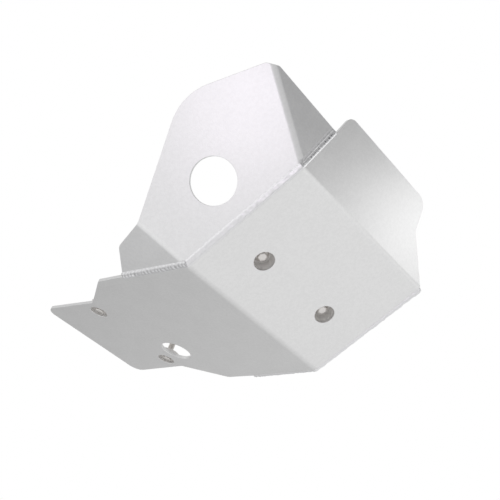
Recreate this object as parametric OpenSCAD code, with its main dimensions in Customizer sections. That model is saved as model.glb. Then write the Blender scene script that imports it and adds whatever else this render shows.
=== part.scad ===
// Motorcycle skid plate: one folded aluminium sheet under and in front of the engine,
// with a folded wing welded along each side and four bolts recessed in welded cups.
// Origin: on the outer face of the belly, midway between the two rear bolts.
// X points forward, Y to the rider's left, Z up. The belly's outer face is Z = 0.

/* [Main plate] */
// Thickness of the main plate
plate_t = 4; // [3:0.5:5]
// Rear bolts to the fold between belly and slope
bolt_to_fold = 226; // [200:1:260]
// Rear bolts to the rear edge of the belly
rear_overhang = 94; // [70:1:120]
// Half width of the plate at the lower fold, right side
fold_right_half_w = 107.6; // [95:0.1:115]
// Half width of the plate at the lower fold, left side
fold_left_half_w = 109; // [95:0.1:115]
// Half width of the belly where the welds end
reach_half_w = 114.5; // [104:0.5:122]
// Half width of the belly at its shoulders, its widest place
shoulder_half_w = 115.2; // [105:0.1:125]
// Lower fold to the shoulders
fold_to_shoulder = 155; // [130:1:170]
// Lower fold to the waist, where the narrow tongue begins
fold_to_waist = 214; // [190:1:225]
// Half width of the tongue at the waist
waist_half_w = 80; // [72:0.5:90]
// Half width of the tongue at its rear edge
tongue_half_w = 84.5; // [75:0.5:95]
// Angle of the slope above the belly
slope_angle = 40.5; // [30:0.5:50]
// Length of the slope between its two folds
slope_l = 154; // [130:1:180]
// Half width of the plate at the upper fold, right side
nose_right_half_w = 105.4; // [90:0.1:115]
// Half width of the plate at the upper fold, left side
nose_left_half_w = 111.5; // [90:0.1:118]
// Angle of the front panel above the belly
front_angle = 87; // [75:0.5:95]
// Height of the front panel along its face
front_h = 97.4; // [80:0.5:120]
// Half width of the front panel's top edge, right side
top_right_half_w = 73.5; // [60:0.5:85]
// Half width of the front panel's top edge, left side
top_left_half_w = 76; // [60:0.5:85]
// Height of the kink in the front panel's left edge
kink_h = 53.5; // [40:0.5:65]

/* [Right wing] */
// Thickness of both wings
wing_t = 4; // [3:0.5:5]
// Angle between the slope and the right wing
right_flare = 38.9; // [30:0.1:50]
// Height of the right wing's rear fold above its weld
right_rear_fold_h = 69.7; // [55:0.1:80]
// Forward place of the right wing's peak along its weld
peak_along = 106.5; // [95:0.5:120]
// Height of the right wing's peak before it is rounded
peak_h = 139.5; // [125:0.5:150]
// Radius of the right wing's peak
peak_r = 60; // [40:1:70]
// Height of the right wing's front fold above its weld
right_front_fold_h = 97.6; // [85:0.1:105]
// Length of the seam between the front panel and the right wing
seam_l = 68.6; // [55:0.1:80]
// Radius of the large hole in the right wing
wing_hole_r = 25; // [15:0.5:32]
// Place of the large hole along the weld
wing_hole_along = 76.2; // [65:0.1:90]
// Height of the large hole above the weld
wing_hole_h = 50.3; // [42:0.1:60]

/* [Left wing] */
// Angle between the slope and the left wing
left_flare = 62; // [55:0.5:75]
// Height of the left wing's rear fold above its weld
left_rear_fold_h = 48; // [40:0.5:60]
// Height of the left wing at its front corner
left_front_h = 62; // [50:0.5:80]
// Length of the belly's edge that each wing is welded to
wing_weld_l = 107; // [90:1:120]

/* [Folds and corners] */
// Inner radius of the lower fold and the wings' rear folds
wide_bend_r = 8; // [5:0.5:12]
// Inner radius of the upper fold
nose_bend_r = 2.5; // [1:0.5:6]
// Inner radius of the right wing's front fold
front_bend_r = 5; // [3:0.5:8]
// Radius of the belly's shoulder and waist corners
shoulder_r = 6; // [3:0.5:10]
// Radius of the tongue's rear corners
tongue_r = 15; // [8:0.5:20]
// Radius of the front panel's top corners
top_r = 13; // [6:0.5:18]

/* [Bolts and holes] */
// Rear bolts off the centre line
rear_bolt_y = 60.6; // [50:0.1:66]
// Slope bolts off the centre line
slope_bolt_y = 52.9; // [40:0.1:70]
// Lower fold to the slope bolts, along the slope
slope_bolt_along = 57.5; // [45:0.5:80]
// Radius of the bolt cups inside
cup_r = 11.3; // [10:0.1:14]
// Wall of the bolt cups
cup_wall = 3; // [2:0.5:4]
// Depth of the slope cups below the plate's outer face
slope_cup_depth = 15; // [12:0.5:20]
// Depth of the rear cups below the plate's outer face
rear_cup_depth = 8; // [7.8:0.1:12]
// Radius of the drain hole
drain_r = 20; // [12:0.5:24]
// Rear bolts to the drain hole, forward
drain_x = 41; // [30:0.5:60]
// Drain hole off the centre line, to the left
drain_y = 42.4; // [30:0.5:50]
// Diameter of the bolts
bolt_d = 8; // [6:1:8]
// Size of the bolt heads across flats
bolt_af = 10; // [8:0.5:12]
// Diameter of the flange under each bolt head
flange_d = 17; // [15:0.5:18]
// Length of thread that stands out behind each cup
bolt_reach = 16; // [10:1:25]

/* [Welds] */
// Gap between plate and wing that the weld fills
root_gap = 0.5; // [0.2:0.1:1]
// Width of the side welds on the wing
bead_on_wing = 2.6; // [1.5:0.1:4]
// Width of the front weld on the wing
front_bead_on_wing = 5.5; // [3:0.1:7]
// Steepness of a weld's crown where plate and wing are nearly flush
bead_crown_angle = 24; // [10:1:40]
// Leg of the fillet weld round each cup
cup_weld_leg = 3; // [2:0.5:3.5]

/* [Hidden] */

$fn = 96;
arc_steps = 14;
bead_steps = 8;
// Cuts run past the faces that they cut, and panels run into the bends beside them
overrun = 1;
bend_lap = 0.35;
// A bend's ends stand this far back from the edges of its panels
bend_inset = 0.05;
// Beads run this far past a corner before they are cut to meet, with this much between them
bead_reach = 12;
bead_joint = 0.1;

// Colours
sheet_colour = [0.84, 0.85, 0.86];
weld_colour = [0.74, 0.74, 0.75];
cup_colour = [0.62, 0.61, 0.6];
bolt_colour = [0.7, 0.68, 0.66];

// Small values of the outlines
kink_r = 10;
kink_in = 0.5;
wing_corner_r = 13;
top_corner_back = 5.2;
top_corner_rise = 7.1;
front_corner_drop = 5;
seam_lean_share = 0.174;
rear_fold_lean_share = 0.195;
rear_corner_along = 19;
rear_corner_h = 36.4;
left_corner_r = 22;
left_peak_along = 62;
left_peak_h = 92;
left_front_along = 140;
left_rear_along = 30;
left_rear_h = 32;
front_fold_lean_share = 0.4375;

// Bolt head
flange_t = 1.6;
head_h = 7.2;
head_edge = 0.6;
cup_floor = 3;
bolt_clearance = 0.3;
bolt_tip = 1;
neck_d = 7.2;

// Vectors
function unit(v) = v / norm(v);
function turn(v, a) = [v.x * cos(a) - v.y * sin(a), v.x * sin(a) + v.y * cos(a)];
function cross2(a, b) = a.x * b.y - a.y * b.x;
function angle_between(a, b) = acos(unit(a) * unit(b));

// A frame is an origin and three axes. Its last axis points out of the guard.
function frame(o, x, n) = [o, unit(x), unit(cross(n, x)), unit(n)];
function at(f, p) = f[0] + f[1] * p.x + f[2] * p.y;
module place(f)
    multmatrix([for (i = [0:2]) [f[1][i], f[2][i], f[3][i], f[0][i]]]) children();

// Outline with its corners rounded, each by its own radius
function corner(a, p, b, r) =
    let (da = unit(a - p), db = unit(b - p),
         half = angle_between(da, db) / 2,
         centre = p + unit(da + db) * r / sin(half),
         start = p + da * r / tan(half) - centre,
         sweep = (180 - 2 * half) * sign(cross2(p - a, b - p)))
    r == 0 ? [p] : [for (i = [0:arc_steps]) centre + turn(start, sweep * i / arc_steps)];
function rounded(pts, radii) =
    let (n = len(pts))
    [for (i = [0:n - 1]) each corner(pts[(i + n - 1) % n], pts[i], pts[(i + 1) % n], radii[i])];

// Length of sheet that a bend takes from each panel beside it
function setback(r_in, t, angle) = (r_in + t) * tan(angle / 2);

// Flat panel with its outer face on the frame
module panel(f, t)
    place(f) translate([0, 0, -t]) linear_extrude(t) children();

// Strip beside a fold line, which the bend takes the place of
module fold_strip(p, dir, width, reach)
    translate(p) rotate(atan2(dir.y, dir.x)) translate([-reach, bend_lap - width])
        square([3 * reach, 2 * width - 2 * bend_lap]);

// Distance along a fold at which an outline's edge crosses the bend's side.
// p and dir give the fold, side points into the panel, q and e give the edge.
function crossing(p, dir, side, width, q, e) =
    cross2(q - p - side * width, e) / cross2(dir, e);

// Bend on a fold line of direction dir, between one panel and the next.
// a and b are the places along the fold where it ends on each panel.
module bend(o, dir, n_a, n_b, r_in, t, a, b) {
    angle = angle_between(n_a, n_b);
    mid = unit(n_a + n_b);
    across = cross(mid, dir);
    r_out = r_in + t;
    half_w = r_out * sin(angle / 2);
    depth = r_out / cos(angle / 2);
    side = across * n_b > 0 ? 1 : -1;
    multmatrix([for (i = [0:2]) [across[i], mid[i], dir[i], o[i]]])
        intersection() {
            translate([0, 0, min(a[0], b[0]) - overrun])
                linear_extrude(max(a[1], b[1]) - min(a[0], b[0]) + 2 * overrun)
                    translate([0, -depth])
                        intersection() {
                            difference() {
                                circle(r_out);
                                circle(r_in);
                            }
                            polygon([[0, 0], [-half_w * 2, depth * 2 * cos(angle / 2) * cos(angle / 2)],
                                     [half_w * 2, depth * 2 * cos(angle / 2) * cos(angle / 2)]]);
                        }
            rotate([90, 0, 0]) translate([0, 0, -overrun]) linear_extrude(2 * depth)
                polygon([[-side * half_w, a[0] + bend_inset], [side * half_w, b[0] + bend_inset],
                         [side * half_w, b[1] - bend_inset], [-side * half_w, a[1] - bend_inset]]);
        }
}

// Main plate
down = [0, 0, -1];
slope_dir = [cos(slope_angle), 0, sin(slope_angle)];
front_dir = [cos(front_angle), 0, sin(front_angle)];
right = [0, -1, 0];
fold_point = [bolt_to_fold, 0, 0];
nose_point = fold_point + slope_dir * slope_l;
belly = frame(fold_point, [1, 0, 0], down);
slope = frame(fold_point, slope_dir, cross(slope_dir, right));
front = frame(nose_point, front_dir, cross(front_dir, right));

fold_back = setback(wide_bend_r, plate_t, slope_angle);
nose_back = setback(nose_bend_r, plate_t, front_angle - slope_angle);
belly_l = bolt_to_fold + rear_overhang;

// Left and right ends of the plate's bends, on the panels beside them
function mix(a, b, share) = a + (b - a) * share;
kink_half_w = top_left_half_w - kink_in;
belly_ends = [-mix(fold_left_half_w, reach_half_w, fold_back / wing_weld_l),
              mix(fold_right_half_w, reach_half_w, fold_back / wing_weld_l)];
slope_low_ends = [-mix(fold_left_half_w, nose_left_half_w, fold_back / slope_l),
                  mix(fold_right_half_w, nose_right_half_w, fold_back / slope_l)];
slope_high_ends = [-mix(nose_left_half_w, fold_left_half_w, nose_back / slope_l),
                   mix(nose_right_half_w, fold_right_half_w, nose_back / slope_l)];
front_ends = [-mix(nose_left_half_w, kink_half_w, nose_back / kink_h),
              mix(nose_right_half_w, top_right_half_w, nose_back / front_h)];

module both_sides(y) {
    translate([0, y]) children();
    translate([0, -y]) children();
}

module main_plate() color(sheet_colour) {
    panel(belly, plate_t) difference() {
        polygon(rounded(
            [[bend_lap - fold_back, belly_ends[1]], [-wing_weld_l, reach_half_w],
             [-fold_to_shoulder, shoulder_half_w],
             [-fold_to_waist, waist_half_w], [-belly_l, tongue_half_w],
             [-belly_l, -tongue_half_w], [-fold_to_waist, -waist_half_w],
             [-fold_to_shoulder, -shoulder_half_w],
             [-wing_weld_l, -reach_half_w], [bend_lap - fold_back, belly_ends[0]]],
            [0, 0, shoulder_r, shoulder_r, tongue_r, tongue_r, shoulder_r, shoulder_r, 0, 0]));
        translate([-bolt_to_fold, 0]) both_sides(rear_bolt_y) circle(cup_r);
        translate([drain_x - bolt_to_fold, -drain_y]) circle(drain_r);
    }
    bend(fold_point, right, down, slope[3], wide_bend_r, plate_t, belly_ends, slope_low_ends);
    panel(slope, plate_t) difference() {
        polygon([[fold_back - bend_lap, slope_low_ends[1]],
                 [slope_l - nose_back + bend_lap, slope_high_ends[1]],
                 [slope_l - nose_back + bend_lap, slope_high_ends[0]],
                 [fold_back - bend_lap, slope_low_ends[0]]]);
        translate([slope_bolt_along, 0]) both_sides(slope_bolt_y) circle(cup_r);
    }
    bend(nose_point, right, slope[3], front[3], nose_bend_r, plate_t, slope_high_ends, front_ends);
    panel(front, plate_t) polygon(rounded(
        [[nose_back - bend_lap, front_ends[1]], [front_h, top_right_half_w],
         [front_h, -top_left_half_w], [kink_h, -kink_half_w],
         [nose_back - bend_lap, front_ends[0]]],
        [0, top_r, top_r, kink_r, 0]));
}

// Wings. Both are worked out on the right side, and the left one is mirrored.
// A side is the plate's edge: its corner at each fold, and the point where the weld ends.
function side(fold_w, nose_w) =
    [fold_point + right * fold_w, nose_point + right * nose_w,
     fold_point + right * reach_half_w - [wing_weld_l, 0, 0]];
right_side = side(fold_right_half_w, nose_right_half_w);
left_side = side(fold_left_half_w, nose_left_half_w);
function slope_edge(s) = s[1] - s[0];
function belly_edge(s) = s[0] - s[2];

// Frame of a wing's main panel: X along the weld, Y up the wing
function wing_frame(s, flare) =
    let (out = unit(cross(slope[3], slope_edge(s))),
         up = out * cos(flare) - slope[3] * sin(flare))
    frame(s[0], slope_edge(s), cross(slope_edge(s), up));

// Frame of the panel that a line and one more point span
function panel_frame(o, x, p) = frame(o, x, cross(x, p - o));
function rear_fold_top(h) = [-rear_fold_lean_share * h, h];
function rear_frame(s, main, h) = panel_frame(s[2], belly_edge(s), at(main, rear_fold_top(h)));

// Place of a point in a frame's own X and Y
function within(f, p) = [(p - f[0]) * f[1], (p - f[0]) * f[2]];

// Height above the plate's edge at which a wing lifted by an angle begins
function weld_lift(angle) = plate_t * sin(angle) + root_gap;

// Folded wing: main panel and the panel behind it. Its outlines start at the fold's top,
// and children are cut out of the main panel.
module wing_body(s, flare, fold_h, main_pts, main_radii, rear_pts, rear_radii) {
    main = wing_frame(s, flare);
    rear = rear_frame(s, main, fold_h);
    back = setback(wide_bend_r, wing_t, angle_between(main[3], rear[3]));
    main_low = weld_lift(flare);
    rear_low = weld_lift(angle_between(rear[3], down));
    top = rear_fold_top(fold_h);
    rear_top = within(rear, at(main, top));
    rear_start = [norm(belly_edge(s)), 0];
    main_dir = unit(top);
    rear_dir = unit(rear_top - rear_start);
    panel(main, wing_t) difference() {
        polygon(rounded(concat([main_dir * main_low / main_dir.y, top], main_pts),
                        concat([0, 0], main_radii)));
        fold_strip([0, 0], main_dir, back, fold_h);
        children();
    }
    panel(rear, wing_t) difference() {
        polygon(rounded(concat([rear_top, rear_start + rear_dir * rear_low / rear_dir.y,
                                [rear_low / 2, rear_low]], rear_pts),
                        concat([0, 0, 0], rear_radii)));
        fold_strip(rear_start, rear_dir, back, fold_h);
    }
    bend(s[0], at(main, main_dir) - s[0], main[3], rear[3], wide_bend_r, wing_t,
         [crossing([0, 0], main_dir, turn(main_dir, -90), back, [0, main_low], [1, 0]),
          crossing([0, 0], main_dir, turn(main_dir, -90), back, top, main_pts[0] - top)],
         [crossing(rear_start, rear_dir, turn(rear_dir, 90), back, [0, rear_low], [1, 0]),
          crossing(rear_start, rear_dir, turn(rear_dir, 90), back, rear_top,
                   rear_pts[len(rear_pts) - 1] - rear_top)]);
}

// The right wing has a third panel, folded forward to meet the front panel's edge
right_main = wing_frame(right_side, right_flare);
right_edge_l = norm(slope_edge(right_side));
seam_dir = unit(at(front, [front_h, top_right_half_w]) - right_side[1]);
front_fold_start = [right_edge_l, 0];
front_fold_top = front_fold_start + [front_fold_lean_share, 1] * right_front_fold_h;
right_front = panel_frame(right_side[1], seam_dir, at(right_main, front_fold_top));
front_lift_angle = angle_between(right_front[3], front[3]);

module right_wing() color(sheet_colour) {
    main_low = weld_lift(right_flare);
    front_low = weld_lift(front_lift_angle);
    back = setback(front_bend_r, wing_t, angle_between(right_main[3], right_front[3]));
    main_dir = unit(front_fold_top - front_fold_start);
    top = within(right_front, at(right_main, front_fold_top));
    front_dir = unit(top);
    main_corner = front_fold_top + [-top_corner_back, top_corner_rise];
    front_corner = [seam_l - seam_lean_share * (top.y - front_corner_drop), top.y - front_corner_drop];
    wing_body(right_side, right_flare, right_rear_fold_h,
              [[peak_along, peak_h], main_corner, front_fold_top,
               front_fold_start + main_dir * main_low / main_dir.y],
              [peak_r, wing_corner_r, 0, 0],
              [[rear_corner_along, rear_corner_h]], [wing_corner_r]) {
        translate([wing_hole_along, wing_hole_h]) circle(wing_hole_r);
        fold_strip(front_fold_start, main_dir, back, right_front_fold_h);
    }
    panel(right_front, wing_t) difference() {
        polygon(rounded([front_dir * front_low / front_dir.y, [seam_l, front_low], front_corner, top],
                        [0, 0, wing_corner_r, 0]));
        fold_strip([0, 0], front_dir, back, right_front_fold_h);
    }
    bend(right_side[1], unit(at(right_main, front_fold_top) - right_side[1]),
         right_main[3], right_front[3], front_bend_r, wing_t,
         [crossing(front_fold_start, main_dir, turn(main_dir, 90), back, [0, main_low], [1, 0]),
          crossing(front_fold_start, main_dir, turn(main_dir, 90), back, front_fold_top,
                   main_corner - front_fold_top)],
         [crossing([0, 0], front_dir, turn(front_dir, -90), back, [0, front_low], [1, 0]),
          crossing([0, 0], front_dir, turn(front_dir, -90), back, top, front_corner - top)]);
}

left_edge_l = norm(slope_edge(left_side));

module left_wing() color(sheet_colour)
    mirror([0, 1, 0])
        wing_body(left_side, left_flare, left_rear_fold_h,
                  [[left_peak_along, left_peak_h], [left_front_along, left_front_h],
                   [left_edge_l, weld_lift(left_flare)]],
                  [left_corner_r, left_corner_r, 0],
                  [[left_rear_along, left_rear_h]], [left_corner_r]);

// Bolt cups, welded to the inside of the plate over a hole of their own bore
slope_bolt_frame = frame(at(slope, [slope_bolt_along, 0]), slope[1], slope[3]);
rear_bolt_frame = frame([0, 0, 0], [1, 0, 0], down);

// side is 1 for the right and -1 for the left
module bolt_place(f, y, side) place(f) translate([0, y * side, 0]) children();

module cup(depth) color(cup_colour)
    translate([0, 0, -depth - cup_floor]) difference() {
        cylinder(r = cup_r + cup_wall, h = depth + cup_floor - plate_t);
        translate([0, 0, cup_floor]) cylinder(r = cup_r, h = depth);
        translate([0, 0, -overrun]) cylinder(r = bolt_d / 2 + bolt_clearance, h = cup_floor + 2 * overrun);
    }

module cup_weld() color(weld_colour)
    translate([0, 0, -plate_t]) mirror([0, 0, 1]) rotate_extrude()
        polygon([[cup_r + cup_wall, 0], [cup_r + cup_wall + cup_weld_leg, 0],
                 [cup_r + cup_wall, cup_weld_leg]]);

// Flanged hexagon bolt, its flange on the floor of the cup
module bolt(depth) color(bolt_colour) translate([0, 0, -depth]) {
    cylinder(d = flange_d, h = flange_t);
    intersection() {
        cylinder(d = bolt_af / cos(30), h = head_h, $fn = 6);
        union() {
            cylinder(d = bolt_af / cos(30), h = head_h - head_edge);
            translate([0, 0, head_h - head_edge])
                cylinder(d1 = bolt_af / cos(30), d2 = bolt_af - head_edge, h = head_edge);
        }
    }
    translate([0, 0, -cup_floor - bend_lap]) cylinder(d = neck_d, h = cup_floor + flange_t / 2);
    translate([0, 0, -cup_floor - bolt_reach + bolt_tip])
        cylinder(d = bolt_d, h = bolt_reach - bolt_tip);
    translate([0, 0, -cup_floor - bolt_reach])
        cylinder(d1 = bolt_d - 2 * bolt_tip, d2 = bolt_d, h = bolt_tip);
}

// Weld along an outside corner. angle is how far the wing is lifted out of the plate's plane.
// Its crown leaves the plate's face level, and is no flatter than bead_crown_angle.
function bead_section(angle, on_wing) =
    let (low = weld_lift(angle),
         under = (plate_t - low * sin(angle)) / cos(angle),
         end = [cos(angle), sin(angle)] * (low + on_wing),
         half = max(atan2(end.y, end.x), bead_crown_angle),
         r = norm(end) / 2 / sin(half),
         centre = end / 2 + turn(unit(end), 90) * r * cos(half),
         start = end - centre)
    concat([[0, plate_t], [cos(angle) * low - sin(angle) * under, plate_t],
            [cos(angle), sin(angle)] * low],
           [for (i = [0:bead_steps]) centre + turn(start, -2 * half * i / bead_steps)]);

// Bead from o along dir, between two distances. The plate's outer normal is n.
module bead(o, dir, n, angle, on_wing, from, to)
    multmatrix([for (i = [0:2]) [unit(cross(n, dir))[i], -n[i], -unit(dir)[i], o[i]]])
        translate([0, 0, -to]) linear_extrude(to - from)
            polygon(bead_section(angle, on_wing));

// Cuts a bead off square where the next one meets it. ahead points to the next bead.
module mitre(o, ahead)
    difference() {
        children();
        place(frame(o - unit(ahead) * bead_joint / 2, cross(ahead, [0, 0, 1]), ahead))
            translate([-bead_reach, -bead_reach]) cube(2 * bead_reach);
    }

function low_mitre(s) = unit(belly_edge(s)) + unit(slope_edge(s));
nose_mitre = unit(slope_edge(right_side)) + seam_dir;

module belly_bead(s, flare, fold_h) color(weld_colour) {
    rear = rear_frame(s, wing_frame(s, flare), fold_h);
    mitre(s[0], low_mitre(s))
        bead(s[2], belly_edge(s), down, angle_between(rear[3], down), bead_on_wing,
             0, norm(belly_edge(s)) + bead_reach);
}

module slope_bead(s, flare) color(weld_colour)
    mitre(s[0], -low_mitre(s)) mitre(s[1], nose_mitre)
        bead(s[0], slope_edge(s), slope[3], flare, bead_on_wing,
             -bead_reach, norm(slope_edge(s)) + bead_reach);

module front_bead() color(weld_colour)
    mitre(right_side[1], -nose_mitre)
        bead(right_side[1], seam_dir, front[3], front_lift_angle, front_bead_on_wing, -bead_reach, seam_l);

main_plate();
right_wing();
left_wing();
bolt_place(slope_bolt_frame, slope_bolt_y, 1) cup(slope_cup_depth);  // slope_cup_right
bolt_place(slope_bolt_frame, slope_bolt_y, -1) cup(slope_cup_depth);  // slope_cup_left
bolt_place(rear_bolt_frame, rear_bolt_y, 1) cup(rear_cup_depth);  // rear_cup_right
bolt_place(rear_bolt_frame, rear_bolt_y, -1) cup(rear_cup_depth);  // rear_cup_left
bolt_place(slope_bolt_frame, slope_bolt_y, 1) bolt(slope_cup_depth);  // slope_bolt_right
bolt_place(slope_bolt_frame, slope_bolt_y, -1) bolt(slope_cup_depth);  // slope_bolt_left
bolt_place(rear_bolt_frame, rear_bolt_y, 1) bolt(rear_cup_depth);  // rear_bolt_right
bolt_place(rear_bolt_frame, rear_bolt_y, -1) bolt(rear_cup_depth);  // rear_bolt_left
belly_bead(right_side, right_flare, right_rear_fold_h);  // weld_right_belly
slope_bead(right_side, right_flare);  // weld_right_slope
front_bead();  // weld_right_front
mirror([0, 1, 0]) belly_bead(left_side, left_flare, left_rear_fold_h);  // weld_left_belly
mirror([0, 1, 0]) slope_bead(left_side, left_flare);  // weld_left_slope
bolt_place(slope_bolt_frame, slope_bolt_y, 1) cup_weld();  // slope_cup_weld_right
bolt_place(slope_bolt_frame, slope_bolt_y, -1) cup_weld();  // slope_cup_weld_left
bolt_place(rear_bolt_frame, rear_bolt_y, 1) cup_weld();  // rear_cup_weld_right
bolt_place(rear_bolt_frame, rear_bolt_y, -1) cup_weld();  // rear_cup_weld_left
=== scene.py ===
"""Motorcycle skid plate in bead-blasted aluminium, dressed for a studio picture.

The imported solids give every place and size. The three sheets are folded again here from the same
panels, bends and holes, so that their flat faces shade evenly. The weld beads are laid with their
ripples and the bolts are made with their threads. The four cups keep their CAD meshes.
"""

import math

import bmesh
import bpy
from mathutils import Matrix, Vector, noise


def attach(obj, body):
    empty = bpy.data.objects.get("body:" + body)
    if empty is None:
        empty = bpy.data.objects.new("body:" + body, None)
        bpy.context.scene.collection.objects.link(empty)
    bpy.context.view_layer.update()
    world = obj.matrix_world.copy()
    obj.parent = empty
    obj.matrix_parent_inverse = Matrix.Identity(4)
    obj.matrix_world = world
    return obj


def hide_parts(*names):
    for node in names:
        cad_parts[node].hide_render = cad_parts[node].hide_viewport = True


bl_info = {
    "name": "Motorcycle skid plate",
    "version": (1, 0, 0),
    "blender": (4, 5, 0),
    "location": "View3D > Sidebar > Skid plate",
    "description": "Finishes, weld beads and bolts of a folded and welded skid plate",
    "category": "Object",
}

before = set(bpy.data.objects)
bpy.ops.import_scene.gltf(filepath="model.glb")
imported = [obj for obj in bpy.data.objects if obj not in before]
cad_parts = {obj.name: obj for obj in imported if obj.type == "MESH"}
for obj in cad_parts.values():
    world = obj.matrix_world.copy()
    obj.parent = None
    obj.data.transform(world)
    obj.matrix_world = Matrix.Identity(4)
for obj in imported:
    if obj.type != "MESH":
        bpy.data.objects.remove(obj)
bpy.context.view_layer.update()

# Folded plate: its corners at the two folds, and where the wings' welds end
FOLD_RIGHT = Vector((0.226, -0.1076, 0.0))
FOLD_LEFT = Vector((0.226, 0.109, 0.0))
NOSE_RIGHT = Vector((0.343103, -0.1054, 0.100015))
NOSE_LEFT = Vector((0.343103, 0.1115, 0.100015))
REACH_RIGHT = Vector((0.119, -0.1145, 0.0))
REACH_LEFT = Vector((0.119, 0.1145, 0.0))
SEAM_TOP = Vector((0.346515, -0.084049, 0.165118))

# Outer sides of the plate's three panels
BELLY_OUT = Vector((0.0, 0.0, -1.0))
SLOPE_OUT = Vector((0.649448, 0.0, -0.760406))
FRONT_OUT = Vector((0.99863, 0.0, -0.052336))

# Turns what lies on the left into its mirror image on the right, and back
MIRROR = Vector((1, -1, 1))

# The sheets' thickness, and the inner radii of their bends
SHEET_T = 0.004
WIDE_BEND = 0.008
NOSE_BEND = 0.0025
FRONT_BEND = 0.005

# Panels are drawn on the sheet's outer face, in millimetres. Each corner is an X along the
# guard or up its front, a Y to its right or up a wing, and a radius. So is each hole.
BELLY_PANEL = ((0, 107.6, 0), (-107, 114.5, 0), (-155, 115.2, 6), (-214, 80, 6),
               (-320, 84.5, 15), (-320, -84.5, 15), (-214, -80, 6), (-155, -115.2, 6),
               (-107, -114.5, 0), (0, -109, 0))
BELLY_HOLES = ((-226, 60.6, 11.3), (-226, -60.6, 11.3), (-185, -42.4, 20))
SLOPE_PANEL = ((0, 107.6, 0), (154, 105.4, 0), (154, -111.5, 0), (0, -109, 0))
SLOPE_HOLES = ((57.5, 52.9, 11.3), (57.5, -52.9, 11.3))
FRONT_PANEL = ((0, 105.4, 0), (97.4, 73.5, 13), (97.4, -76, 13), (53.5, -75.5, 10),
               (0, -111.5, 0))

# Right wing: the outer sides of its panels, the panels, and its large hole
RIGHT_MAIN_OUT = Vector((0.512249, -0.627899, -0.585955))
RIGHT_REAR_OUT = Vector((0.0279064, -0.432752, -0.901081))
RIGHT_FRONT_OUT = Vector((0.994421, -0.103927, -0.0180309))
RIGHT_MAIN_PANEL = ((-0.558, 2.859, 0), (-13.592, 69.7, 0), (106.5, 139.5, 60),
                    (191.516, 104.7, 10), (196.716, 97.6, 0), (154.885, 1.985, 0),
                    (144, 3.01, 0), (10, 3.01, 0))
RIGHT_REAR_PANEL = ((65.628, 57.556, 0), (105.516, 2.361, 0), (94, 2.235, 0),
                    (1.117, 2.235, 0), (19, 36.4, 13))
RIGHT_FRONT_PANEL = ((0.965, 1.940, 0), (9, 0.937, 0), (68.6, 0.937, 0), (52.873, 90.386, 5),
                     (47.44, 95.386, 0))
RIGHT_HOLES = ((76.2, 50.3, 25),)

# Left wing, drawn as its mirror image on the right
LEFT_MAIN_OUT = Vector((0.293999, -0.882831, -0.366297))
LEFT_REAR_OUT = Vector((0.0402147, -0.78236, -0.621527))
LEFT_MAIN_PANEL = ((-0.907, 4.652, 0), (-9.36, 48, 0), (62, 92, 22), (140, 62, 22),
                   (154.02, 4.032, 0), (10, 4.032, 0))
LEFT_REAR_PANEL = ((71.119, 33.076, 0), (103.65, 3.206, 0), (94, 3.634, 0), (1.8, 3.634, 0),
                   (30, 32, 22))

# Two directions whose dot product is above this are one
SAME_WAY = 0.99999

# Cups: the middles of their mouths on the left, and the bolts' depths in them
SLOPE_BOLT = Vector((0.269723, 0.0529, 0.037343))
REAR_BOLT = Vector((0.0, 0.0606, 0.0))
SLOPE_DEPTH = 0.015
REAR_DEPTH = 0.008

# Bolts: node, mouth of the cup, outer side, depth in it, and how far the hexagon is turned
BOLTS = (
    ("slope_bolt_right", SLOPE_BOLT * MIRROR, SLOPE_OUT, SLOPE_DEPTH, 0.3),
    ("slope_bolt_left", SLOPE_BOLT, SLOPE_OUT, SLOPE_DEPTH, 0.75),
    ("rear_bolt_right", REAR_BOLT * MIRROR, BELLY_OUT, REAR_DEPTH, 0.1),
    ("rear_bolt_left", REAR_BOLT, BELLY_OUT, REAR_DEPTH, 0.5),
)

# Rings of weld: piece, mouth of the cup, outer side, start of the ripples' sway, and node
RINGS = (
    ("ring_slope_right", SLOPE_BOLT * MIRROR, SLOPE_OUT, 1.0, "slope_cup_weld_right"),
    ("ring_slope_left", SLOPE_BOLT, SLOPE_OUT, 2.0, "slope_cup_weld_left"),
    ("ring_rear_right", REAR_BOLT * MIRROR, BELLY_OUT, 3.0, "rear_cup_weld_right"),
    ("ring_rear_left", REAR_BOLT, BELLY_OUT, 4.0, "rear_cup_weld_left"),
)
RING_R = 0.0143
RING_LEG = 0.003
RING_STEPS = 180
RING_RIPPLES = 30

# Directions in which beads go on past their ends: that of the next seam, or about its own where
# a bead ends alone. The right wing's front bead leans upright at its top.
RIGHT_BELLY_SEAM = FOLD_RIGHT - REACH_RIGHT
RIGHT_SLOPE_SEAM = NOSE_RIGHT - FOLD_RIGHT
RIGHT_FRONT_SEAM = SEAM_TOP - NOSE_RIGHT
RIGHT_FRONT_END = RIGHT_FRONT_SEAM + Vector((0.0, -0.0223, 0.0073))
LEFT_BELLY_SEAM = FOLD_LEFT - REACH_LEFT
LEFT_SLOPE_SEAM = NOSE_LEFT - FOLD_LEFT

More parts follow.
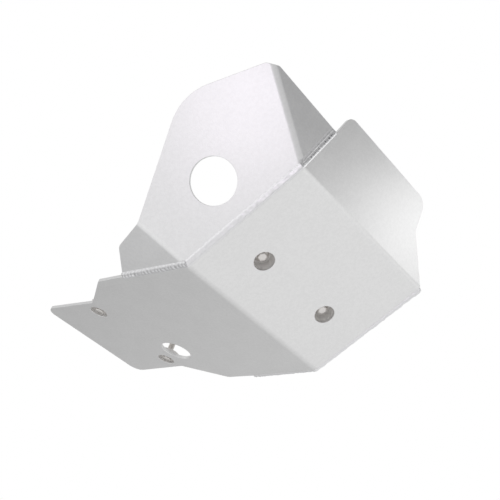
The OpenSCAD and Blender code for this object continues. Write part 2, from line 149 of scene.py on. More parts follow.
# Beads, with what seam_bead says of each value
# Each bead's tint is painted shade, darkening its colour between the toes
BEADS = (
    {"name": "bead_right_belly", "node": "weld_right_belly", "ends": (REACH_RIGHT, FOLD_RIGHT),
     "plate_out": BELLY_OUT, "lift": math.radians(25.7), "low": 0.00223,
     "wide": (0.0054, 0.0079), "lap": (0.0040, 0.0), "crown": (0.0018, 0.0010),
     "ripples": (2.8, 1.1), "pace": 1.3, "tint": 0.36, "pits": 0.2,
     "turns": (RIGHT_BELLY_SEAM, RIGHT_SLOPE_SEAM)},
    {"name": "bead_right_slope", "node": "weld_right_slope", "ends": (FOLD_RIGHT, NOSE_RIGHT),
     "plate_out": SLOPE_OUT, "lift": math.radians(38.9), "low": 0.00301,
     "wide": (0.0078, 0.0074), "lap": (0.0, 0.0), "crown": (0.0012, 0.0014),
     "ripples": (0.4, 0.2), "pace": 1.0, "tint": 0.3, "pits": 0.1,
     "turns": (RIGHT_BELLY_SEAM, RIGHT_FRONT_SEAM)},
    {"name": "bead_right_front", "node": "weld_right_front", "ends": (NOSE_RIGHT, SEAM_TOP),
     "plate_out": FRONT_OUT, "lift": math.radians(6.3), "low": 0.00094,
     "wide": (0.0078, 0.0086), "lap": (0.0, 0.0012), "crown": (0.0008, 0.0009),
     "ripples": (0.3, 0.3), "pace": 1.0, "tint": 0.25, "pits": 1.0,
     "turns": (RIGHT_SLOPE_SEAM, RIGHT_FRONT_END)},
    {"name": "bead_left_belly", "node": "weld_left_belly", "ends": (REACH_LEFT, FOLD_LEFT),
     "plate_out": BELLY_OUT, "lift": math.radians(51.6), "low": 0.00363,
     "wide": (0.0070, 0.0094), "lap": (0.0015, 0.0005), "crown": (0.0022, 0.0020),
     "ripples": (2.0, 0.8), "pace": 1.3, "tint": 0.2, "pits": 0.2,
     "turns": (LEFT_BELLY_SEAM, LEFT_SLOPE_SEAM)},
    {"name": "bead_left_slope", "node": "weld_left_slope", "ends": (FOLD_LEFT, NOSE_LEFT),
     "plate_out": SLOPE_OUT, "lift": math.radians(62.0), "low": 0.00403,
     "wide": (0.0098, 0.0084), "lap": (0.0005, 0.0010), "crown": (0.0026, 0.0040),
     "ripples": (0.8, 0.8), "pace": 1.2, "tint": 0.2, "pits": 0.3,
     "turns": (LEFT_BELLY_SEAM, LEFT_SLOPE_SEAM)},
)

# Beads: distance between two rings of points, spaces across the crown, length over which an
# end is rounded or its ripples fade, and the dot product above which a bead goes straight on
# past its end, and so ends alone
BEAD_STEP = 0.00035
BEAD_ACROSS = 24
BEAD_END = 0.004
BEAD_STRAIGHT = 0.9

# Faces that meet at more than this keep a sharp edge, on welds and on bolts
WELD_SHARP = math.radians(60)
BOLT_SHARP = math.radians(28)

# The photograph's camera
CAMERA_LENS = 54.53
CAMERA_SENSOR = 36.0
CAMERA_NEAR = 0.01
CAMERA_AT = (0.8116253, -0.4773991, -0.3437955)
CAMERA_RIGHT = Vector((0.6984371, 0.6408241, 0.318638))
CAMERA_DOWN = Vector((-0.1491899, 0.5658181, -0.8109206))
CAMERA_AHEAD = Vector((-0.6999486, 0.5188394, 0.4907928))

# Floor: half its side, and its middle ahead of the rear bolts
FLOOR_HALF = 6.0
FLOOR_AHEAD = 0.15

# Brighter and darker sides of the white studio: direction, sharpness and gain
STUDIO = (
    ((0.23, 0.41, -0.88), 8.0, 0.24),
    ((0.13, -0.58, -0.81), 8.0, 0.26),
    ((0.74, 0.62, -0.27), 8.0, 0.37),
    ((-0.52, -0.63, -0.58), 8.0, 0.37),
    ((0.71, 0.31, 0.63), 30.0, -0.52),
    ((0.27, 0.0, 0.96), 8.0, -0.27),
    ((-0.94, 0.04, -0.35), 8.0, -0.35),
    ((-0.36, -0.93, 0.08), 30.0, 0.8),
    ((-0.67, 0.43, 0.60), 8.0, 0.6),
)

# Soft round lamps near the right wing and the front panel: name, place, aim, tint and watts
LAMP_SIZE = 0.2
LAMPS = (
    ("wing_lamp", (0.45, -0.50, -0.05), (0.28, -0.17, 0.12), (0.97, 0.87, 1.0), 0.136),
    ("front_lamp", (0.525, 0.24, 0.286), (0.345, 0.144, 0.192), (1.0, 1.0, 1.0), 0.088),
)


def metres(name, text, value, low=0.0, high=0.2):
    """A length that the panel shows."""
    return bpy.props.FloatProperty(
        name=name, description=text, default=value, min=low, max=high, unit="LENGTH", precision=5
    )


def share(name, text, value):
    """A number from 0 to 1 that the panel shows."""
    return bpy.props.FloatProperty(
        name=name, description=text, default=value, min=0.0, max=1.0, subtype="FACTOR"
    )


def colour(name, text, value):
    """A colour that the panel shows."""
    return bpy.props.FloatVectorProperty(
        name=name, description=text, default=value, min=0.0, max=1.0, size=3, subtype="COLOR"
    )


class SheetSettings(bpy.types.PropertyGroup):
    """Finish of the folded sheets."""

    tone: colour("Sheet", "Colour of the blasted aluminium", (0.88, 0.88, 0.88))
    cloud: colour("Sheet clouds", "Colour of its slightly duller patches", (0.84, 0.84, 0.84))
    wing_tone: colour("Wings", "Colour of the wings' aluminium", (0.882, 0.882, 0.886))
    wing_cloud: colour("Wings' clouds", "Colour of their duller patches", (0.842, 0.842, 0.846))
    roughness: share("Roughness", "Roughness of the blasted face", 0.46)
    grain: metres("Grain", "Size of the blasting's grain", 0.0015)
    grain_depth: metres("Grain depth", "Depth of the blasting's grain", 0.00009)
    edge: metres("Edge", "Softening of the cut edges", 0.0005)


class WeldSettings(bpy.types.PropertyGroup):
    """Shape and finish of the weld beads."""

    tone: colour("Weld", "Colour of the weld metal", (0.87, 0.87, 0.88))
    # painted shade: the dark colour laid on the beads where shade falls
    painted_shade: colour("Weld soot", "Colour between the ripples", (0.30, 0.30, 0.31))
    pitch: metres("Pitch", "Distance between the ripples", 0.0042)
    ripple: metres("Ripple", "Height of the ripples", 0.00045)


class BoltSettings(bpy.types.PropertyGroup):
    """Sizes and finish of the flanged bolts."""

    tone: colour("Zinc", "Colour of the plated steel", (0.86, 0.835, 0.81))
    across_flats: metres("Across flats", "Size of the hexagon", 0.010)
    flange: metres("Flange", "Diameter of the flange", 0.017)
    shank: metres("Shank", "Diameter of the shank", 0.008)
    thread_pitch: metres("Thread pitch", "Pitch of the thread", 0.00125)


class StageSettings(bpy.types.PropertyGroup):
    """Floor and light."""

    floor_drop: metres("Floor", "How far below the guard the floor lies", 0.62, 0.0, 2.0)
    ambient: share("Ambient", "Strength of the even part of the light", 0.61)


def feed(tree, target, value):
    """Sets a node's socket to a number, or links another socket to it."""
    if isinstance(value, Wire):
        tree.links.new(value.socket, target)
    elif target.type == "RGBA" and len(value) == 3:
        target.default_value = (*value, 1.0)
    else:
        target.default_value = value


class Wire:
    """A shader socket that sums and products are written with."""

    def __init__(self, tree, socket):
        self.tree, self.socket = tree, socket

    def math(self, operation, *values):
        node = self.tree.nodes.new("ShaderNodeMath")
        node.operation = operation
        for target, value in zip(node.inputs, values):
            feed(self.tree, target, value)
        return Wire(self.tree, node.outputs[0])

    def __add__(self, other):
        return self.math("ADD", self, other)

    def __radd__(self, other):
        return self.math("ADD", other, self)

    def __sub__(self, other):
        return self.math("SUBTRACT", self, other)

    def __rsub__(self, other):
        return self.math("SUBTRACT", other, self)

    def __mul__(self, other):
        return self.math("MULTIPLY", self, other)

    def __rmul__(self, other):
        return self.math("MULTIPLY", other, self)

    def __pow__(self, other):
        return self.math("POWER", self, other)

    def between(self, low, high):
        """0 at low, 1 at high, and held there beyond them."""
        node = self.tree.nodes.new("ShaderNodeMapRange")
        node.interpolation_type = "SMOOTHSTEP"
        for target, value in zip(node.inputs, (self, low, high, 0.0, 1.0)):
            feed(self.tree, target, value)
        return Wire(self.tree, node.outputs[0])


class Shade:
    """A node tree, written as expressions."""

    def __init__(self, tree):
        self.tree = tree
        tree.nodes.clear()

    def node(self, kind, settings=None, sockets=None, output=0):
        made = self.tree.nodes.new("ShaderNode" + kind)
        for name, value in (settings or {}).items():
            setattr(made, name, value)
        for name, value in (sockets or {}).items():
            feed(self.tree, made.inputs[name], value)
        return Wire(self.tree, made.outputs[output])

    def place(self):
        return self.node("TexCoord", output="Object")

    def noise(self, size, detail, rough, place=None):
        sockets = {"Vector": place or self.place(), "Scale": 1.0 / size, "Detail": detail,
                   "Roughness": rough}
        return self.node("TexNoise", sockets=sockets, output="Fac")

    def mix(self, factor, a, b):
        made = self.tree.nodes.new("ShaderNodeMix")
        made.data_type = "RGBA"
        for target, value in zip((made.inputs[0], made.inputs[6], made.inputs[7]), (factor, a, b)):
            feed(self.tree, target, value)
        return Wire(self.tree, made.outputs[2])

    def bump(self, height, distance):
        sockets = {"Height": height, "Distance": distance, "Strength": 1.0}
        return self.node("Bump", sockets=sockets)


def finish(name, **sockets):
    """A material and its shade, with the named sockets of its surface set."""
    material = bpy.data.materials.new(name)
    material.use_nodes = True
    shade = Shade(material.node_tree)
    surface = shade.tree.nodes.new("ShaderNodeBsdfPrincipled")
    out = shade.tree.nodes.new("ShaderNodeOutputMaterial")
    shade.tree.links.new(surface.outputs[0], out.inputs[0])
    shade.surface = surface
    set_surface(shade, **sockets)
    return material, shade


def set_surface(shade, **sockets):
    """Sets the named sockets of a shade's surface."""
    for key, value in sockets.items():
        feed(shade.tree, shade.surface.inputs[key.replace("_", " ")], value)


def blasted_aluminium(name, tone, cloud, seed):
    """Fine bead-blasted aluminium: an even satin with a close grain and faint clouds."""
    look = bpy.context.scene.skid_sheet
    _, shade = finish(name, Metallic=1.0)
    place = shade.node(
        "Mapping", sockets={"Vector": shade.place(), "Location": (seed, 2 * seed, 0.0)}
    )
    grain = shade.noise(look.grain, detail=3.0, rough=0.65, place=place)
    coarse = shade.noise(look.grain * 2.4, detail=2.0, rough=0.6, place=place)
    patches = shade.noise(0.03, detail=4.0, rough=0.55, place=place).between(0.35, 0.65)
    speckle = (0.06 * patches + 0.47 * grain + 0.47 * coarse).between(0.38, 0.62)
    set_surface(shade, Base_Color=shade.mix(speckle, cloud, tone))
    set_surface(shade, Roughness=look.roughness + 0.10 * (grain - 0.5) + 0.02 * (patches - 0.5))
    set_surface(shade, Normal=shade.bump(grain + 0.5 * coarse, look.grain_depth))


def weld_metal(name):
    """Weld metal: bright crests, painted shade darkening the hollows between ripples and the band
    between the toes, darker spots along the foot, and a fine pitted skin.
    """
    look = bpy.context.scene.skid_weld
    _, shade = finish(name, Metallic=1.0)
    spots = shade.noise(0.0012, detail=3.0, rough=0.6)
    pits = shade.noise(0.004, detail=2.0, rough=0.5).between(0.45, 0.62)
    # painted shade: mask of the darkening between the ripples and between the toes, with darker
    # spots along the foot
    shade_mask = shade.node("Attribute", {"attribute_name": "shade_mask"}, output="Fac")
    dark = (shade_mask * (0.85 + 0.15 * pits)).between(0.1, 0.9)
    set_surface(shade, Base_Color=shade.mix(dark, look.tone, look.painted_shade))
    set_surface(shade, Roughness=0.38 + 0.22 * dark + 0.1 * (spots - 0.5))
    set_surface(shade, Normal=shade.bump(spots, 0.00008))


def dull_aluminium(name):
    """Turned aluminium gone dull, in faint patches."""
    _, shade = finish(name, Metallic=0.35)
    patches = shade.noise(0.006, detail=3.0, rough=0.6).between(0.35, 0.7)
    grain = shade.noise(0.0009, detail=2.0, rough=0.5)
    set_surface(shade, Base_Color=shade.mix(patches, (0.83, 0.815, 0.80), (0.90, 0.885, 0.87)))
    set_surface(shade, Roughness=0.42 + 0.18 * patches)
    set_surface(shade, Normal=shade.bump(grain, 0.00004))


def plated_steel(name):
    """Zinc-plated steel with a warm cast and soft wear."""
    look = bpy.context.scene.skid_bolt
    _, shade = finish(name, Metallic=1.0)
    patches = shade.noise(0.003, detail=3.0, rough=0.6).between(0.3, 0.7)
    grain = shade.noise(0.0006, detail=2.0, rough=0.5)
    dull = tuple(c * 0.88 for c in look.tone)
    set_surface(shade, Base_Color=shade.mix(patches, dull, look.tone))
    set_surface(shade, Roughness=0.30 + 0.16 * patches)
    set_surface(shade, Normal=shade.bump(grain, 0.00003))


def keep_object(bm, name, material, slot, *nodes):
    """Turns a bmesh into a piece that rides on the guard and stands for CAD nodes."""
    mesh = bpy.data.meshes.new(name)
    bm.to_mesh(mesh)
    bm.free()
    mesh.materials.append(bpy.data.materials[material])
    piece = bpy.data.objects.new(name, mesh)
    bpy.context.scene.collection.objects.link(piece)
    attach(piece, "root")
    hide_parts(*nodes)
    return piece


def dress(node, material):
    """Gives a CAD node its finish."""
    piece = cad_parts[node]
    piece.data.materials.clear()
    piece.data.materials.append(bpy.data.materials[material])


def axes(origin, along, out):
    """Frame of a flat panel: X along a side, Z out of the guard."""
    x, z = along.normalized(), out.normalized()
    return Matrix.Translation(origin) @ Matrix((x, z.cross(x), z)).transposed().to_4x4()


def trace(bm, corners):
    """Closed outline through the corners, each an X, a Y and a radius, in millimetres."""
    points = [Vector((x, y, 0)) / 1000 for x, y, r in corners]
    ends = []
    for i, point in enumerate(points):
        radius = corners[i][2] / 1000
        back = (points[i - 1] - point).normalized()
        ahead = (points[(i + 1) % len(points)] - point).normalized()
        if radius == 0:
            vert = bm.verts.new(point)
            ends.append((vert, vert))
            continue
        half = back.angle(ahead) / 2
        centre = point + (back + ahead).normalized() * radius / math.sin(half)
        first = bm.verts.new(point + back * radius / math.tan(half))
        side = 1 if ahead.cross(back).z > 0 else -1
        arc = bmesh.ops.spin(bm, geom=[first], cent=centre, axis=(0, 0, 1),
                             angle=side * (math.pi - 2 * half), steps=16)
        last = [v for v in arc["geom_last"] if isinstance(v, bmesh.types.BMVert)][0]
        ends.append((first, last))
    for before, after in zip(ends[-1:] + ends, ends):
        bm.edges.new((before[1], after[0]))


def panel(bm, place, corners):
    """Adds a flat panel to a sheet."""
    flat = bmesh.new()
    trace(flat, corners)
    bmesh.ops.contextual_create(flat, geom=flat.edges[:])
    bmesh.ops.transform(flat, matrix=place, verts=flat.verts)
    if flat.faces[:][0].normal.dot(place.col[2].to_3d()) < 0:
        bmesh.ops.reverse_faces(flat, faces=flat.faces)
    part = bpy.data.meshes.new("panel")
    flat.to_mesh(part)
    flat.free()
    bm.from_mesh(part)
    bpy.data.meshes.remove(part)


def fold(bm, places, inner):
    """Bends the sheet round the long edge that two panels share, to an inner radius."""
    shared = [e for e in bm.edges if len(e.link_faces) == 2 and e.calc_length() > 0.02
              and all(any(abs(f.normal.dot(p.col[2].to_3d())) > SAME_WAY for f in e.link_faces)
                      for p in places)]
    angle = shared[0].calc_face_angle()
    offset = (inner + SHEET_T) * math.tan(angle / 2)
    bmesh.ops.bevel(bm, geom=shared, offset=offset, affect="EDGES", segments=10, profile=0.5,
                    material=-1)


def pierce(bm, place, holes):
    """Cuts round holes, each an X, a Y and a radius in millimetres, in a sheet's flat panel."""
    out, origin = place.col[2].to_3d(), place.translation
    face = max((f for f in bm.faces if f.normal.dot(out) > SAME_WAY
                and abs((f.verts[0].co - origin).dot(out)) < 1e-5), key=lambda f: f.calc_area())
    edges = face.edges[:]
    bmesh.ops.delete(bm, geom=[face], context="FACES_ONLY")
    for x, y, radius in holes:
        at = place @ Matrix.Translation((x / 1000, y / 1000, 0))
        rim = bmesh.ops.create_circle(bm, segments=max(48, round(radius * 4)),
                                      radius=radius / 1000, matrix=at)["verts"]
        edges += {e for v in rim for e in v.link_edges}
    filled = bmesh.ops.triangle_fill(bm, edges=edges, use_beauty=True, normal=out)["geom"]
    inner = [g for g in filled if isinstance(g, bmesh.types.BMEdge) and g.is_manifold
             and g.calc_face_angle() < 0.001]
    bmesh.ops.dissolve_limit(bm, angle_limit=0.01, verts=[], edges=inner)


def sheet(bm, name, material, slot, out, node):
    """Makes a folded sheet from its outer face, with softened edges.

    Out is the outer side of the panel that the faces are turned by.
    """
    bmesh.ops.recalc_face_normals(bm, faces=bm.faces)
    widest = max(bm.faces, key=lambda f: f.calc_area() * (abs(f.normal.dot(out)) > 0.999))
    if widest.normal.dot(out) < 0:
        bmesh.ops.reverse_faces(bm, faces=bm.faces)
    for face in bm.faces:
        face.smooth = True
    piece = keep_object(bm, name, material, slot, node)
    wall = piece.modifiers.new("Thickness", "SOLIDIFY")
    wall.thickness = SHEET_T
    wall.offset = -1.0
    wall.use_even_offset = True
    soft = piece.modifiers.new("Soft edges", "BEVEL")
    soft.width = bpy.context.scene.skid_sheet.edge
    soft.segments = 2
    soft.limit_method = "ANGLE"
    soft.angle_limit = math.radians(40)
    soft.use_clamp_overlap = False
    even = piece.modifiers.new("Even faces", "WEIGHTED_NORMAL")
    even.weight = 100


def close_up(bm):
    """Turns a closed piece's faces outward and shades them smoothly."""
    bmesh.ops.recalc_face_normals(bm, faces=bm.faces)
    if bm.calc_volume(signed=True) < 0:
        bmesh.ops.reverse_faces(bm, faces=bm.faces)
    for face in bm.faces:
        face.smooth = True


def ripple_crest(phase, bluntness):
    """Height of a weld's ripples, 0 between two of them and 1 on top of each."""
    return math.sin(math.pi * (phase - math.floor(phase))) ** bluntness


def bead_ring(bm, across_layer):
    """First ring of a bead's points, each with its place across the crown, and its edges.

    The crown's points go from 0 to 1 across, and the three of the bead's foot lie beyond 1.
    """
    verts = []
    for i in range(BEAD_ACROSS + 4):
        vert = bm.verts.new((i * 0.0003, 0 if i <= BEAD_ACROSS else SHEET_T, 0))
        vert[across_layer] = i / BEAD_ACROSS
        verts.append(vert)
    return verts, [bm.edges.new(pair) for pair in zip(verts, verts[1:] + verts[:1])]


def seam_bead(name, node, ends, plate_out, lift, low, wide, lap, crown, ripples, pace, tint,
              pits, turns):
    """Fills a seam with a bead that runs from one end to the other.

    The bead lies between the plate's edge and a wing lifted by an angle out of the plate's
    plane, where the wing starts at low. It reaches wide up the wing and laps over the plate.
    Crown is its height and ripples the height of its ripples, as a share of the panel's value.
    Each of these has a value for the first end and one for the last. Pace widens the ripples,
    tint darkens the bead's colour between its toes as painted shade, and pits darkens its foot
    in spots. The turns are the directions of its neighbours' seams, or about its own where it
    ends alone.
    """
    look = bpy.context.scene.skid_weld
    start, end = ends
    along = (end - start).normalized()
    out = plate_out.cross(along) * (1 if plate_out.cross(along).y * start.y > 0 else -1)
    cos, sin = math.cos(lift), math.sin(lift)
    up = plate_out * math.cos(lift / 2) + out * math.sin(lift / 2)
    length = (end - start).length
    steps = round(length / BEAD_STEP)
    rough_first, rough_last = (value * look.ripple for value in ripples)
    bm = bmesh.new()
    across_layer = bm.verts.layers.float.new("across")
    shade_mask = bm.verts.layers.float.new("shade_mask")
    verts, edges = bead_ring(bm, across_layer)
    bmesh.ops.spin(bm, geom=verts + edges, angle=0, steps=steps, axis=(0, 0, 1), cent=(0, 0, 0),
                   dvec=(0, 0, length / steps))
    bmesh.ops.holes_fill(bm, edges=[e for e in bm.edges if e.is_boundary])
    # the ends are cut where they meet their neighbours, or rounded where they end alone
    first = (along + turns[0].normalized()).normalized()
    last = (along + turns[1].normalized()).normalized()
    alone = [turn.normalized().dot(along) > BEAD_STRAIGHT for turn in turns]
    foot = [(cos * low, sin * low),
            (cos * low - sin * (SHEET_T - low * sin) / cos, SHEET_T),
            (0, SHEET_T)]
    for vert in bm.verts:
        across, d = vert[across_layer], vert.co.z
        s = d / length
        reach, over, high = (v[0] + (v[1] - v[0]) * s for v in (wide, lap, crown))
        left = (d / BEAD_END, (length - d) / BEAD_END)
        near = min([1.0] + [part for part, free in zip(left, alone) if free])
        calm = min([1.0] + [part for part, free in zip(left, alone) if not free])
        full = math.sqrt(max(0.0, near * (2 - near)))
        if across > 1.01:
            x, y = foot[round(across * BEAD_ACROSS) - BEAD_ACROSS - 1]
            height = 0.0
        else:
            # place on the plate or up the wing, with a wavering edge
            waver = 1 + 0.09 * calm * noise.noise(Vector((d * 190, lift * 9, 0)))
            at = (across * (reach + over) - over) * waver * (0.6 + 0.4 * full)
            x, y = (at, 0.0) if at < 0 else (at * cos, at * sin)
            # crown, flat on top, with bowed ripples, lumps and a faint seam
            arch = 1 - abs(2 * across - 1) ** 3.5
            bow = 1 - (2 * across - 1) ** 2
            drift = 0.5 * noise.noise(Vector((d * 120, 3, lift)))
            crest = ripple_crest(d / (look.pitch * pace) + drift + 0.9 * bow, 0.6)
            lump = noise.noise(Vector((d * 240, across * 2.5, lift * 5)))
            seam = math.exp(-(((across - 0.56) / 0.08) ** 2))
            rough = rough_last + (rough_first - rough_last) * max(0.0, 1 - 3 * s)
            height = full * arch * (high * (1 + calm * (0.22 * lump - 0.35 * pits * seam))
                                    + calm * rough * (crest - 0.6))
            # painted shade: even between the toes, and darker spots along the foot
            pit = noise.noise(Vector((d * 380, across * 4, 2 + lift)))
            dull = min(1.0, max(0.0, min((across - 0.08) / 0.1, (0.86 - across) / 0.08)))
            spots = max(0.0, 1 - abs(across - 0.36) / 0.22) * (0.2 + 1.8 * pit)
            vert[shade_mask] = max(tint * dull, pits * spots)
        side = out * x - plate_out * y + up * height
        low_end = -side.dot(first) / along.dot(first)
        high_end = length - side.dot(last) / along.dot(last)
        vert.co = start + side + along * (low_end + (high_end - low_end) * s)
    bm.verts.layers.float.remove(across_layer)
    close_up(bm)
    piece = keep_object(bm, name, "weld_metal", "weld", node)
    piece.data.set_sharp_from_angle(angle=WELD_SHARP)


def upright(place, out):
    """Moves a piece made round the Z axis to its place, with Z along out."""
    turn = out.to_track_quat("Z", "Y").to_matrix().to_4x4()
    return Matrix.Translation(place) @ turn


def turned(bm, profile, steps):
    """Turns a closed profile of radii and heights round the Z axis."""
    verts = [bm.verts.new((r, 0, z)) for r, z in profile]
    edges = [bm.edges.new(pair) for pair in zip(verts, verts[1:] + verts[:1])]
    bmesh.ops.spin(bm, geom=verts + edges, angle=2 * math.pi, steps=steps, axis=(0, 0, 1),
                   cent=(0, 0, 0), use_merge=True)
    bmesh.ops.remove_doubles(bm, verts=bm.verts, dist=1e-6)


def cup_ring(name, place, out, sway, node):
    """Rippled fillet of weld between the back of the plate and a cup."""
    quarter = [i * math.pi / 12 for i in range(7)]
    profile = [(RING_R + RING_LEG * math.cos(a), -SHEET_T - RING_LEG * math.sin(a))
               for a in quarter] + [(RING_R, -SHEET_T)]
    bm = bmesh.new()
    turned(bm, profile, RING_STEPS)
    shade_mask = bm.verts.layers.float.new("shade_mask")
    for vert in bm.verts:
        angle = math.atan2(vert.co.y, vert.co.x)
        radius = math.hypot(vert.co.x, vert.co.y)
        # the corner between cup and plate stays where it is
        if radius - RING_R < 1e-6 and vert.co.z + SHEET_T > -1e-6:
            continue
        bow = 4 * ((radius - RING_R) / RING_LEG) * (1 - (radius - RING_R) / RING_LEG)
        phase = (angle / (2 * math.pi) * RING_RIPPLES + 0.35 * bow
                 + 0.15 * math.sin(3 * angle + sway))
        crest = ripple_crest(phase, 0.7)
        lift = 0.0004 * (crest - 0.6) * max(bow, 0.15)
        vert.co += Vector((vert.co.x / radius, vert.co.y / radius, -1.0)) * lift
        # painted shade: darker in the troughs between the ripples
        vert[shade_mask] = 1 - crest
    bmesh.ops.transform(bm, matrix=upright(place, out), verts=bm.verts)
    close_up(bm)
    piece = keep_object(bm, name, "weld_metal", "cup_weld", node)
    piece.data.set_sharp_from_angle(angle=WELD_SHARP)


def flanged_bolt(name, place, out, depth, turn, node):
    """Flanged hexagon bolt with a domed flange, a chamfered head and a threaded shank."""
    look = bpy.context.scene.skid_bolt
    bm = bmesh.new()
    # flange and washer face, turned
    rim = look.flange / 2
    turned(bm, [(0.0034, 0.0), (rim - 0.0003, 0.0), (rim, 0.0003), (rim, 0.0009),
                (rim - 0.0004, 0.0014), (0.0066, 0.0022), (0.0054, 0.0027), (0.0034, 0.0027)], 72)
    # hexagon with its corners turned away at the top
    corner = look.across_flats / 2 / math.cos(math.pi / 6)
    head = bmesh.ops.create_cone(bm, cap_ends=True, segments=6, radius1=corner, radius2=corner,
                                 depth=0.0054)["verts"]
    bmesh.ops.translate(bm, vec=(0, 0, 0.0045), verts=head)
    hexagon = [f for f in bm.faces if all(v in set(head) for v in f.verts)]
    top = [e for f in hexagon if f.normal.z > 0.9 for e in f.edges]
    bmesh.ops.bevel(bm, geom=top, offset=0.0006, segments=3, profile=0.5, affect="EDGES",
                    material=-1)
    # shallow dish in the top of the head
    caps = [f for f in bm.faces if f.normal.z > 0.9 and f.calc_center_median().z > 0.0071]
    bmesh.ops.inset_region(bm, faces=caps, thickness=0.0011, depth=0.0)
    bmesh.ops.inset_region(bm, faces=caps, thickness=0.0003, depth=-0.0002)
    # plain core, then the thread, its profile spun up the shank turn by turn
    length, pitch = 0.019, look.thread_pitch
    thread_start, thread_depth, thread_steps = 0.0031, 0.00068, 36
    crest, root = look.shank / 2, look.shank / 2 - thread_depth
    core = bmesh.ops.create_cone(bm, cap_ends=True, segments=48, radius1=root - 0.0006,
                                 radius2=root, depth=length)["verts"]
    bmesh.ops.translate(bm, vec=(0, 0, -length / 2), verts=core)
    turns = int((length - thread_start) / pitch) - 1
    tooth = [bm.verts.new((r, 0, z - thread_start)) for r, z in
             ((root - 0.0002, 0.0), (crest, -0.42 * pitch), (crest, -0.55 * pitch),
              (root - 0.0002, -0.97 * pitch))]
    ridge = [bm.edges.new(pair) for pair in zip(tooth, tooth[1:] + tooth[:1])]
    bmesh.ops.spin(bm, geom=tooth + ridge, angle=2 * math.pi * turns, steps=thread_steps * turns,
                   axis=(0, 0, 1), cent=(0, 0, 0), dvec=(0, 0, -pitch / thread_steps),
                   use_merge=False)
    bmesh.ops.holes_fill(bm, edges=[e for e in bm.edges if e.is_boundary])
    bmesh.ops.rotate(bm, cent=(0, 0, 0), matrix=Matrix.Rotation(turn, 3, "Z"), verts=bm.verts)
    bmesh.ops.transform(bm, matrix=upright(place - out * depth, out), verts=bm.verts)
    close_up(bm)
    piece = keep_object(bm, name, "plated_steel", "bolt", node)
    piece.data.set_sharp_from_angle(angle=BOLT_SHARP)


class SKID_OT_finishes(bpy.types.Operator):
    """Make the finishes that the pieces share"""

    bl_idname = "skid.finishes"
    bl_label = "Finishes"

    def execute(self, context):
        look = context.scene.skid_sheet
        blasted_aluminium("plate_aluminium", look.tone, look.cloud, 0.0)
        blasted_aluminium("wing_aluminium", look.wing_tone, look.wing_cloud, 0.37)
        weld_metal("weld_metal")
        dull_aluminium("dull_aluminium")
        plated_steel("plated_steel")
        return {"FINISHED"}


class SKID_OT_plate(bpy.types.Operator):
    """Fold the main plate from its flat panels"""

    bl_idname = "skid.plate"
    bl_label = "Main plate"

    def execute(self, context):
        fold_line = Vector((FOLD_RIGHT.x, 0.0, FOLD_RIGHT.z))
        nose_line = Vector((NOSE_RIGHT.x, 0.0, NOSE_RIGHT.z))
        belly = axes(fold_line, Vector((1, 0, 0)), BELLY_OUT)
        slope = axes(fold_line, nose_line - fold_line, SLOPE_OUT)
        front = axes(nose_line, FRONT_OUT.cross(Vector((0, 1, 0))), FRONT_OUT)
        bm = bmesh.new()
        panel(bm, belly, BELLY_PANEL)
        panel(bm, slope, SLOPE_PANEL)
        panel(bm, front, FRONT_PANEL)
        bmesh.ops.remove_doubles(bm, verts=bm.verts, dist=2e-5)
        bmesh.ops.recalc_face_normals(bm, faces=bm.faces)
        fold(bm, (belly, slope), WIDE_BEND)
        fold(bm, (slope, front), NOSE_BEND)
        # the holes are cut in panels found by their outer sides, so all faces turn out first
        bmesh.ops.recalc_face_normals(bm, faces=bm.faces)
        if max(bm.faces, key=lambda f: f.calc_area()).normal.z > 0:
            bmesh.ops.reverse_faces(bm, faces=bm.faces)
        pierce(bm, belly, BELLY_HOLES)
        pierce(bm, slope, SLOPE_HOLES)
        sheet(bm, "folded_plate", "plate_aluminium", "plate", BELLY_OUT, "main_plate")
        return {"FINISHED"}


class SKID_OT_wings(bpy.types.Operator):
    """Fold the two wings from their flat panels"""

    bl_idname = "skid.wings"
    bl_label = "Wings"

    def execute(self, context):
        main = axes(FOLD_RIGHT, NOSE_RIGHT - FOLD_RIGHT, RIGHT_MAIN_OUT)
        rear = axes(REACH_RIGHT, FOLD_RIGHT - REACH_RIGHT, RIGHT_REAR_OUT)
        front = axes(NOSE_RIGHT, SEAM_TOP - NOSE_RIGHT, RIGHT_FRONT_OUT)
        bm = bmesh.new()
        panel(bm, main, RIGHT_MAIN_PANEL)
        panel(bm, rear, RIGHT_REAR_PANEL)
        panel(bm, front, RIGHT_FRONT_PANEL)
        bmesh.ops.remove_doubles(bm, verts=bm.verts, dist=5e-5)
        fold(bm, (main, rear), WIDE_BEND)
        fold(bm, (main, front), FRONT_BEND)
        pierce(bm, main, RIGHT_HOLES)
        sheet(bm, "folded_right_wing", "wing_aluminium", "right_wing", RIGHT_MAIN_OUT,
              "right_wing")

        main = axes(FOLD_LEFT * MIRROR, (NOSE_LEFT - FOLD_LEFT) * MIRROR, LEFT_MAIN_OUT)
        rear = axes(REACH_LEFT * MIRROR, (FOLD_LEFT - REACH_LEFT) * MIRROR, LEFT_REAR_OUT)
        bm = bmesh.new()
        panel(bm, main, LEFT_MAIN_PANEL)
        panel(bm, rear, LEFT_REAR_PANEL)
        bmesh.ops.remove_doubles(bm, verts=bm.verts, dist=5e-5)
        fold(bm, (main, rear), WIDE_BEND)
        bmesh.ops.scale(bm, vec=MIRROR, verts=bm.verts)
        sheet(bm, "folded_left_wing", "wing_aluminium", "left_wing", LEFT_MAIN_OUT * MIRROR,
              "left_wing")
        return {"FINISHED"}


class SKID_OT_cups(bpy.types.Operator):
    """Finish the four bolt cups"""

    bl_idname = "skid.cups"
    bl_label = "Bolt cups"

    def execute(self, context):
        for node in ("slope_cup_right", "slope_cup_left", "rear_cup_right", "rear_cup_left"):
            dress(node, "dull_aluminium")
        return {"FINISHED"}


class SKID_OT_bolts(bpy.types.Operator):
    """Make the four flanged bolts"""

    bl_idname = "skid.bolts"
    bl_label = "Bolts"

    def execute(self, context):
        for node, place, out, depth, turn in BOLTS:
            flanged_bolt(node + "_threaded", place, out, depth, turn, node)
        return {"FINISHED"}


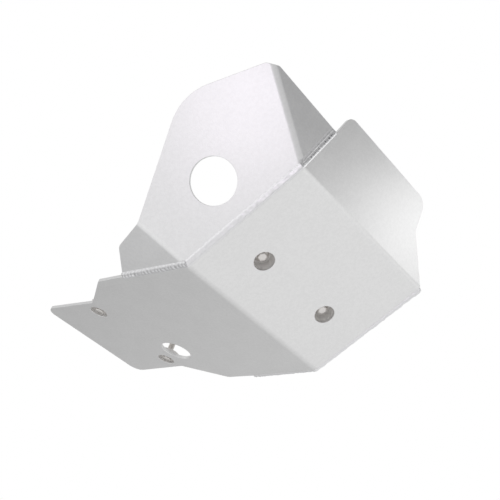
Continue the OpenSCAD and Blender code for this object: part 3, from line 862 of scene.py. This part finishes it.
class SKID_OT_welds(bpy.types.Operator):
    """Lay the beads along the wings and round the cups"""

    bl_idname = "skid.welds"
    bl_label = "Welds"

    def execute(self, context):
        for bead in BEADS:
            seam_bead(**bead)
        for ring in RINGS:
            cup_ring(*ring)
        return {"FINISHED"}


class SKID_OT_stage(bpy.types.Operator):
    """Set the floor, the lamps, the world and the camera"""

    bl_idname = "skid.stage"
    bl_label = "Stage"

    def execute(self, context):
        look = context.scene.skid_stage
        scene = context.scene
        scene.view_settings.view_transform = "Standard"
        # camera, at the photograph's viewing angle
        data = bpy.data.cameras.new("camera")
        data.sensor_width = CAMERA_SENSOR
        data.lens = CAMERA_LENS
        data.clip_start = CAMERA_NEAR
        camera = bpy.data.objects.new("camera", data)
        scene.collection.objects.link(camera)
        turn = Matrix((CAMERA_RIGHT, -CAMERA_DOWN, -CAMERA_AHEAD)).transposed().to_4x4()
        camera.matrix_world = Matrix.Translation(CAMERA_AT) @ turn
        scene.camera = camera
        # pale floor, well below the guard, which hangs as it does on the machine
        bm = bmesh.new()
        bmesh.ops.create_grid(bm, x_segments=2, y_segments=2, size=FLOOR_HALF)
        bmesh.ops.translate(bm, vec=(FLOOR_AHEAD, 0, -look.floor_drop), verts=bm.verts)
        mesh = bpy.data.meshes.new("floor")
        bm.to_mesh(mesh)
        bm.free()
        material, _ = finish("floor_paper", Base_Color=(0.86, 0.86, 0.86), Roughness=0.9)
        mesh.materials.append(material)
        floor = bpy.data.objects.new("floor", mesh)
        scene.collection.objects.link(floor)
        floor.visible_glossy = False
        floor.visible_shadow = False
        # world: white to the camera, and a soft studio to the metal
        world = bpy.data.worlds.new("studio")
        scene.world = world
        world.use_nodes = True
        shade = Shade(world.node_tree)
        toward = shade.node("TexCoord", output="Generated")

        def lobe(direction, power, gain):
            dot = shade.node("VectorMath", {"operation": "DOT_PRODUCT"},
                             {0: toward, 1: direction}, output="Value")
            return dot.math("MAXIMUM", dot, 0.0) ** power * gain

        light = look.ambient
        for direction, power, gain in STUDIO:
            light = light + lobe(direction, power, gain)
        seen = shade.node("LightPath", output="Is Camera Ray")
        strength = light + seen * (1.0 - light)
        sky = shade.node("Background", sockets={"Color": (1.0, 1.0, 1.0), "Strength": strength})
        out = shade.tree.nodes.new("ShaderNodeOutputWorld")
        shade.tree.links.new(sky.socket, out.inputs[0])
        for name, place, aim, tint, power in LAMPS:
            data = bpy.data.lights.new(name, "AREA")
            data.shape = "DISK"
            data.size = LAMP_SIZE
            data.color = tint
            data.energy = power
            lamp = bpy.data.objects.new(name, data)
            lamp.location = place
            lamp.rotation_euler = (Vector(aim) - lamp.location).to_track_quat("-Z", "Y").to_euler()
            scene.collection.objects.link(lamp)
        return {"FINISHED"}


OPERATORS = (
    SKID_OT_stage,
    SKID_OT_finishes,
    SKID_OT_plate,
    SKID_OT_wings,
    SKID_OT_cups,
    SKID_OT_bolts,
    SKID_OT_welds,
)


class SKID_PT_panel(bpy.types.Panel):
    """The guard's pieces and their sizes"""

    bl_idname = "SKID_PT_panel"
    bl_label = "Skid plate"
    bl_space_type = "VIEW_3D"
    bl_region_type = "UI"
    bl_category = "Skid plate"

    def draw(self, context):
        for operator in OPERATORS:
            self.layout.operator(operator.bl_idname)
        for name in GROUPS:
            group = getattr(context.scene, name)
            box = self.layout.box()
            for setting in group.__annotations__:
                box.prop(group, setting)


GROUPS = {
    "skid_sheet": SheetSettings,
    "skid_weld": WeldSettings,
    "skid_bolt": BoltSettings,
    "skid_stage": StageSettings,
}


def register():
    for group in GROUPS.values():
        bpy.utils.register_class(group)
    for name, group in GROUPS.items():
        setattr(bpy.types.Scene, name, bpy.props.PointerProperty(type=group))
    for operator in OPERATORS:
        bpy.utils.register_class(operator)
    bpy.utils.register_class(SKID_PT_panel)


def unregister():
    bpy.utils.unregister_class(SKID_PT_panel)
    for operator in reversed(OPERATORS):
        bpy.utils.unregister_class(operator)
    for name in GROUPS:
        delattr(bpy.types.Scene, name)
    for group in GROUPS.values():
        bpy.utils.unregister_class(group)


def main():
    """Dresses the guard."""
    register()
    bpy.ops.skid.stage()
    bpy.ops.skid.finishes()
    bpy.ops.skid.plate()
    bpy.ops.skid.wings()
    bpy.ops.skid.cups()
    bpy.ops.skid.bolts()
    bpy.ops.skid.welds()
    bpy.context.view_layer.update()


if __name__ == "__main__":
    main()
